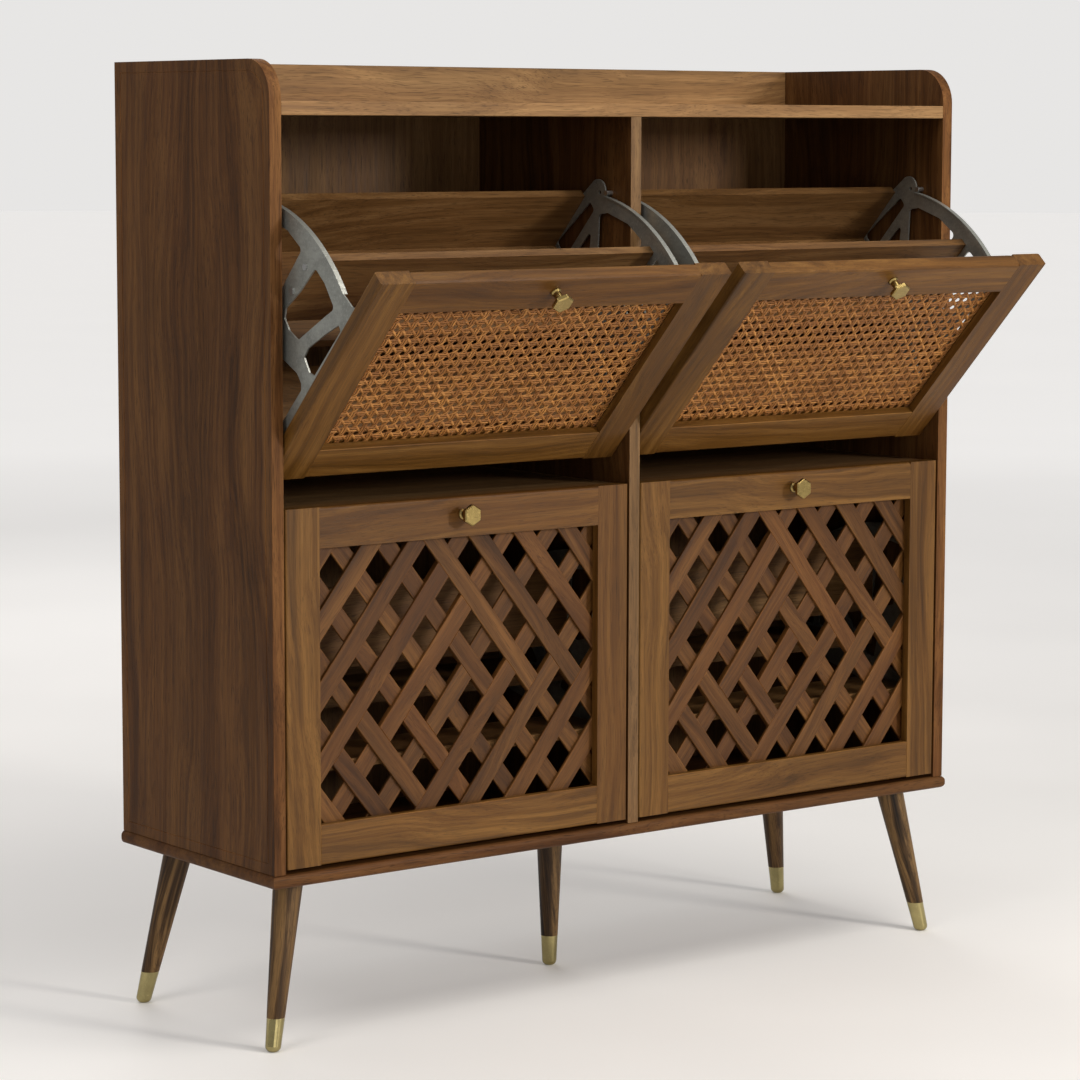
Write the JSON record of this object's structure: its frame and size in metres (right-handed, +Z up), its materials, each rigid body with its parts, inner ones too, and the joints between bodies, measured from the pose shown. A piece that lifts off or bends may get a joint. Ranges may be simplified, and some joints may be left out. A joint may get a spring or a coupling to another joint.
{
  "type": "shoe cabinet",
  "caption": "Walnut-stained shoe cabinet with tip-out flaps in cane and lattice, an open top tray, pressed steel tip brackets and splayed legs with brass ferrules.",
  "frame": {"origin": "on the floor under the middle of the carcass, at the centre leg's foot", "axes": "+X right, -Y the front where the flaps open, +Z up"},
  "size_m": [1.006, 0.5106, 1.083],
  "materials": {
    "walnut_carcass": "walnut-stained open-grain boards, satin lacquer",
    "walnut_back": "thin walnut-stained back board, satin",
    "walnut_flap": "solid walnut-stained frames, satin lacquer, rubbed edges",
    "walnut_lattice": "solid walnut-stained slats, satin lacquer",
    "walnut_tray": "stained tray boards, satin",
    "walnut_leg": "turned dark walnut-stained legs, satin",
    "cane": "woven natural cane, dry satin",
    "bracket_steel": "grey powder-coated pressed steel, rubbed bright edges",
    "knob_brass": "satin brass",
    "polished_brass": "polished brass",
    "zinc_steel": "zinc-plated steel"
  },
  "bodies": {
    "cabinet": {"side_panel_left": "walnut_carcass", "side_panel_right": "walnut_carcass", "partition": "walnut_carcass", "top_shelf": "walnut_carcass", "back_upstand": "walnut_carcass", "back_panel": "walnut_back", "base_board": "walnut_carcass", "divider_shelf_left": "walnut_carcass", "divider_shelf_right": "walnut_carcass", "leg_front_left": "walnut_leg", "leg_front_right": "walnut_leg", "leg_rear_left": "walnut_leg", "leg_rear_right": "walnut_leg", "leg_centre": "walnut_leg", "leg_ferrules": "polished_brass", "leg_plates": "zinc_steel", "leg_screws": "zinc_steel", "pivot_pins": "zinc_steel", "stop_pins": "zinc_steel"},
    "upper_left_flap": {"upper_left_frame": "walnut_flap", "upper_left_cane": "cane", "upper_left_cane_bead": "walnut_flap", "upper_left_bracket_left": "bracket_steel", "upper_left_bracket_right": "bracket_steel", "upper_left_tray_walls": "walnut_tray", "upper_left_tray_floors": "walnut_tray", "upper_left_screws": "zinc_steel", "upper_left_knob": "knob_brass"},
    "upper_right_flap": {"upper_right_frame": "walnut_flap", "upper_right_cane": "cane", "upper_right_cane_bead": "walnut_flap", "upper_right_bracket_left": "bracket_steel", "upper_right_bracket_right": "bracket_steel", "upper_right_tray_walls": "walnut_tray", "upper_right_tray_floors": "walnut_tray", "upper_right_screws": "zinc_steel", "upper_right_knob": "knob_brass"},
    "lower_left_flap": {"lower_left_frame": "walnut_flap", "lower_left_lattice": "walnut_lattice", "lower_left_bracket_left": "bracket_steel", "lower_left_bracket_right": "bracket_steel", "lower_left_tray_walls": "walnut_tray", "lower_left_tray_floors": "walnut_tray", "lower_left_screws": "zinc_steel", "lower_left_knob": "knob_brass"},
    "lower_right_flap": {"lower_right_frame": "walnut_flap", "lower_right_lattice": "walnut_lattice", "lower_right_bracket_left": "bracket_steel", "lower_right_bracket_right": "bracket_steel", "lower_right_tray_walls": "walnut_tray", "lower_right_tray_floors": "walnut_tray", "lower_right_screws": "zinc_steel", "lower_right_knob": "knob_brass"}
  },
  "joints": [
    {"name": "upper_left_tip", "type": "hinge", "parent": "cabinet", "child": "upper_left_flap", "pos_m": [-0.24625, -0.1345, 0.6715], "axis": [1, 0, 0], "range_deg": [-44, 0]},
    {"name": "upper_right_tip", "type": "hinge", "parent": "cabinet", "child": "upper_right_flap", "pos_m": [0.24625, -0.1345, 0.6715], "axis": [1, 0, 0], "range_deg": [-44, 0]},
    {"name": "lower_left_tip", "type": "hinge", "parent": "cabinet", "child": "lower_left_flap", "pos_m": [-0.24625, -0.1345, 0.2985], "axis": [1, 0, 0], "range_deg": [0, 44]},
    {"name": "lower_right_tip", "type": "hinge", "parent": "cabinet", "child": "lower_right_flap", "pos_m": [0.24625, -0.1345, 0.2985], "axis": [1, 0, 0], "range_deg": [0, 44]}
  ]
}
